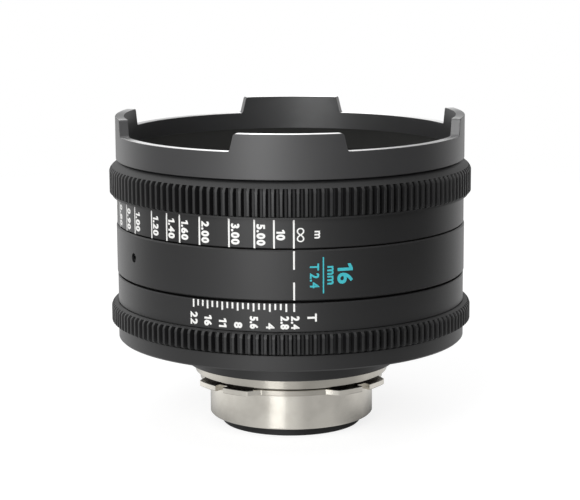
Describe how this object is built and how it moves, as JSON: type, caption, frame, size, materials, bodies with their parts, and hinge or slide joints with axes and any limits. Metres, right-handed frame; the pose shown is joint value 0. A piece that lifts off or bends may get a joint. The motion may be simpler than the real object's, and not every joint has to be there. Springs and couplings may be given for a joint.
{
  "type": "cinema prime lens",
  "caption": "Black cinema prime lens with a four-tab hood, geared focus and iris rings with engraved scales, and a steel four-lobed bayonet mount at the rear.",
  "frame": {"origin": "middle of the rear mount's seating face, on the optical axis", "axes": "+Z along the optical axis to the front of the lens; -Y to the side with the index line, which faces the picture's camera; +X to the right in the picture"},
  "size_m": [0.1184, 0.1184, 0.1025],
  "materials": {
    "hood_black": "satin black anodised",
    "gear_black": "satin black anodised, milled teeth",
    "scale_black": "fine satin black anodised",
    "barrel_black": "fine satin black anodised",
    "inner_black": "matt black anodised",
    "stainless": "turned satin stainless steel",
    "polished_steel": "ground steel",
    "dark_steel": "blackened steel",
    "blade_steel": "blackened spring steel",
    "brass": "turned brass",
    "coated_glass": "polished, coated"
  },
  "bodies": {
    "lens_body": {"front_hood": "hood_black", "hood_baffle": "inner_black", "front_barrel": "inner_black", "front_barrel_screws": "dark_steel", "front_cell": "inner_black", "front_retaining_ring": "inner_black", "front_glass": "coated_glass", "front_spacer": "inner_black", "second_glass": "coated_glass", "guide_barrel": "inner_black", "guide_screws": "dark_steel", "middle_barrel": "barrel_black", "barrel_screws": "dark_steel", "service_plugs": "dark_steel", "lower_balls": "polished_steel", "lower_ball_cage": "brass", "upper_balls": "polished_steel", "upper_ball_cage": "brass", "focus_stop_pin": "dark_steel", "iris_housing": "inner_black", "iris_cover": "inner_black", "iris_cover_screws": "dark_steel", "rear_housing": "barrel_black", "rear_cell": "inner_black", "rear_cell_screws": "dark_steel", "rear_retaining_ring": "inner_black", "rear_spacer": "inner_black", "doublet_front_glass": "coated_glass", "doublet_rear_glass": "coated_glass", "rear_glass": "coated_glass", "rear_light_mask": "inner_black", "mount_shim": "brass", "rear_mount": "stainless", "mount_screws": "dark_steel"},
    "focus_ring": {"focus_gear": "gear_black", "focus_scale_ring": "scale_black", "cam_sleeve": "brass", "focus_drive_screws": "dark_steel"},
    "focus_group": {"focus_cell": "inner_black", "focus_front_glass": "coated_glass", "focus_rear_glass": "coated_glass", "focus_spacer": "inner_black", "focus_retaining_ring": "inner_black", "cam_followers": "polished_steel"},
    "iris_ring": {"iris_scale_ring": "scale_black", "iris_gear": "gear_black", "iris_drive_rod": "polished_steel", "iris_cam_ring": "brass"},
    "blade_1": {"iris_blade_1": "blade_steel"},
    "blade_2": {"iris_blade_2": "blade_steel"},
    "blade_3": {"iris_blade_3": "blade_steel"},
    "blade_4": {"iris_blade_4": "blade_steel"},
    "blade_5": {"iris_blade_5": "blade_steel"},
    "blade_6": {"iris_blade_6": "blade_steel"},
    "blade_7": {"iris_blade_7": "blade_steel"},
    "blade_8": {"iris_blade_8": "blade_steel"},
    "blade_9": {"iris_blade_9": "blade_steel"}
  },
  "joints": [
    {"name": "focus_turn", "type": "hinge", "parent": "lens_body", "child": "focus_ring", "pos_m": [0, 0, 0.0625], "axis": [0, 0, 1], "range_deg": [0, 242]},
    {"name": "focus_travel", "type": "slide", "parent": "lens_body", "child": "focus_group", "axis": [0, 0, 1], "range_m": [0, 0.00848]},
    {"name": "iris_turn", "type": "hinge", "parent": "lens_body", "child": "iris_ring", "pos_m": [0, 0, 0.028], "axis": [0, 0, 1], "range_deg": [0, 32.8]},
    {"name": "blade_1_swing", "type": "hinge", "parent": "lens_body", "child": "blade_1", "pos_m": [0.0142, 0, 0.0265], "axis": [0, 0, 1], "range_deg": [0, 38.45]},
    {"name": "blade_2_swing", "type": "hinge", "parent": "lens_body", "child": "blade_2", "pos_m": [0.01088, 0.00913, 0.0265], "axis": [0, 0, 1], "range_deg": [0, 38.45]},
    {"name": "blade_3_swing", "type": "hinge", "parent": "lens_body", "child": "blade_3", "pos_m": [0.00247, 0.01398, 0.0265], "axis": [0, 0, 1], "range_deg": [0, 38.45]},
    {"name": "blade_4_swing", "type": "hinge", "parent": "lens_body", "child": "blade_4", "pos_m": [-0.0071, 0.0123, 0.0265], "axis": [0, 0, 1], "range_deg": [0, 38.45]},
    {"name": "blade_5_swing", "type": "hinge", "parent": "lens_body", "child": "blade_5", "pos_m": [-0.01334, 0.00486, 0.0265], "axis": [0, 0, 1], "range_deg": [0, 38.45]},
    {"name": "blade_6_swing", "type": "hinge", "parent": "lens_body", "child": "blade_6", "pos_m": [-0.01334, -0.00486, 0.0265], "axis": [0, 0, 1], "range_deg": [0, 38.45]},
    {"name": "blade_7_swing", "type": "hinge", "parent": "lens_body", "child": "blade_7", "pos_m": [-0.0071, -0.0123, 0.0265], "axis": [0, 0, 1], "range_deg": [0, 38.45]},
    {"name": "blade_8_swing", "type": "hinge", "parent": "lens_body", "child": "blade_8", "pos_m": [0.00247, -0.01398, 0.0265], "axis": [0, 0, 1], "range_deg": [0, 38.45]},
    {"name": "blade_9_swing", "type": "hinge", "parent": "lens_body", "child": "blade_9", "pos_m": [0.01088, -0.00913, 0.0265], "axis": [0, 0, 1], "range_deg": [0, 38.45]}
  ],
  "couplings": [
    {"joint": "focus_travel", "follows": "focus_turn", "m_per_rad": 0.0020054},
    {"joint": "blade_1_swing", "follows": "iris_turn", "ratio": 1.1721},
    {"joint": "blade_2_swing", "follows": "iris_turn", "ratio": 1.1721},
    {"joint": "blade_3_swing", "follows": "iris_turn", "ratio": 1.1721},
    {"joint": "blade_4_swing", "follows": "iris_turn", "ratio": 1.1721},
    {"joint": "blade_5_swing", "follows": "iris_turn", "ratio": 1.1721},
    {"joint": "blade_6_swing", "follows": "iris_turn", "ratio": 1.1721},
    {"joint": "blade_7_swing", "follows": "iris_turn", "ratio": 1.1721},
    {"joint": "blade_8_swing", "follows": "iris_turn", "ratio": 1.1721},
    {"joint": "blade_9_swing", "follows": "iris_turn", "ratio": 1.1721}
  ]
}
